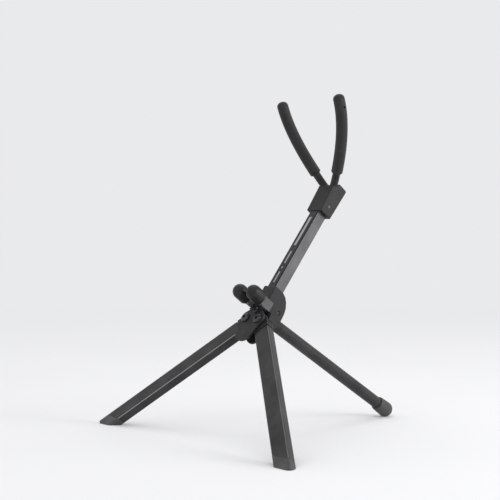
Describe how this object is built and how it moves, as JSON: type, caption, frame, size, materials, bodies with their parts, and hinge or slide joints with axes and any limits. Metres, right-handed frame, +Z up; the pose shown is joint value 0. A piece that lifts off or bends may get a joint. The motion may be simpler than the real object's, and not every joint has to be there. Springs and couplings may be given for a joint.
{
  "type": "saxophone stand",
  "caption": "Folding in-bell saxophone stand: leaning square mast, folding legs, curved padded bell arms and a low padded cradle.",
  "frame": {"origin": "centre of the bounding box's bottom face, on the floor the stand rests on", "axes": "+Z up; -Y towards the instrument, +Y the way the mast leans and the rear leg points; +X to the right for someone facing the stand's instrument side"},
  "size_m": [0.3058, 0.272, 0.3329],
  "materials": {
    "moulded_black": "fine-textured black moulding",
    "satin_black_tube": "satin black anodised tube",
    "black_mast": "black finished square tube",
    "black_rubber": "dull black rubber",
    "soft_sleeve": "soft black padding sleeve",
    "coated_rod": "black coated steel rod",
    "blackened_screw": "blackened screws and pins"
  },
  "bodies": {
    "mast_and_hub": {"hub_housing": "moulded_black", "hub_front_cover": "moulded_black", "head_block": "moulded_black", "mast_tube": "black_mast", "cover_screw": "blackened_screw", "left_pivot_bolt": "blackened_screw", "right_pivot_bolt": "blackened_screw", "socket_clamp_screw": "blackened_screw", "rear_hinge_pin": "blackened_screw", "head_pin": "blackened_screw", "left_arm_lock_screw": "blackened_screw", "right_arm_lock_screw": "blackened_screw"},
    "left_arm": {"left_arm_rod": "coated_rod", "left_arm_sleeve": "soft_sleeve"},
    "right_arm": {"right_arm_rod": "coated_rod", "right_arm_sleeve": "soft_sleeve"},
    "left_leg": {"left_leg_tube": "satin_black_tube", "left_leg_knuckle": "moulded_black", "left_foot": "black_rubber"},
    "right_leg": {"right_leg_tube": "satin_black_tube", "right_leg_knuckle": "moulded_black", "right_foot": "black_rubber"},
    "rear_leg": {"rear_leg_tube": "satin_black_tube", "rear_leg_knuckle": "moulded_black", "rear_foot": "black_rubber"},
    "cradle": {"cradle_shaft": "coated_rod", "left_cradle_bar": "moulded_black", "right_cradle_bar": "moulded_black", "left_cradle_rod": "coated_rod", "right_cradle_rod": "coated_rod", "left_cradle_pad": "black_rubber", "right_cradle_pad": "black_rubber"}
  },
  "joints": [
    {"name": "left_leg_fold", "type": "hinge", "parent": "mast_and_hub", "child": "left_leg", "pos_m": [-0.0093, -0.04772, 0.10881], "axis": [0, 0.7986, -0.6018], "range_deg": [-44, 0]},
    {"name": "right_leg_fold", "type": "hinge", "parent": "mast_and_hub", "child": "right_leg", "pos_m": [0.0093, -0.04772, 0.10881], "axis": [0, 0.7986, -0.6018], "range_deg": [0, 44]},
    {"name": "rear_leg_fold", "type": "hinge", "parent": "mast_and_hub", "child": "rear_leg", "pos_m": [0, -0.03052, 0.1092], "axis": [1, 0, 0], "range_deg": [-94.4, 0]},
    {"name": "cradle_fold", "type": "hinge", "parent": "mast_and_hub", "child": "cradle", "pos_m": [0, -0.04134, 0.12558], "axis": [-1, 0, 0], "range_deg": [0, 35]},
    {"name": "left_arm_swivel", "type": "hinge", "parent": "mast_and_hub", "child": "left_arm", "pos_m": [-0.0086, 0.04663, 0.24698], "axis": [-0.5569, -0.2374, 0.7959], "range_deg": [-90, 90]},
    {"name": "right_arm_swivel", "type": "hinge", "parent": "mast_and_hub", "child": "right_arm", "pos_m": [0.0086, 0.04663, 0.24698], "axis": [0.5569, -0.2374, 0.7959], "range_deg": [-90, 90]}
  ]
}
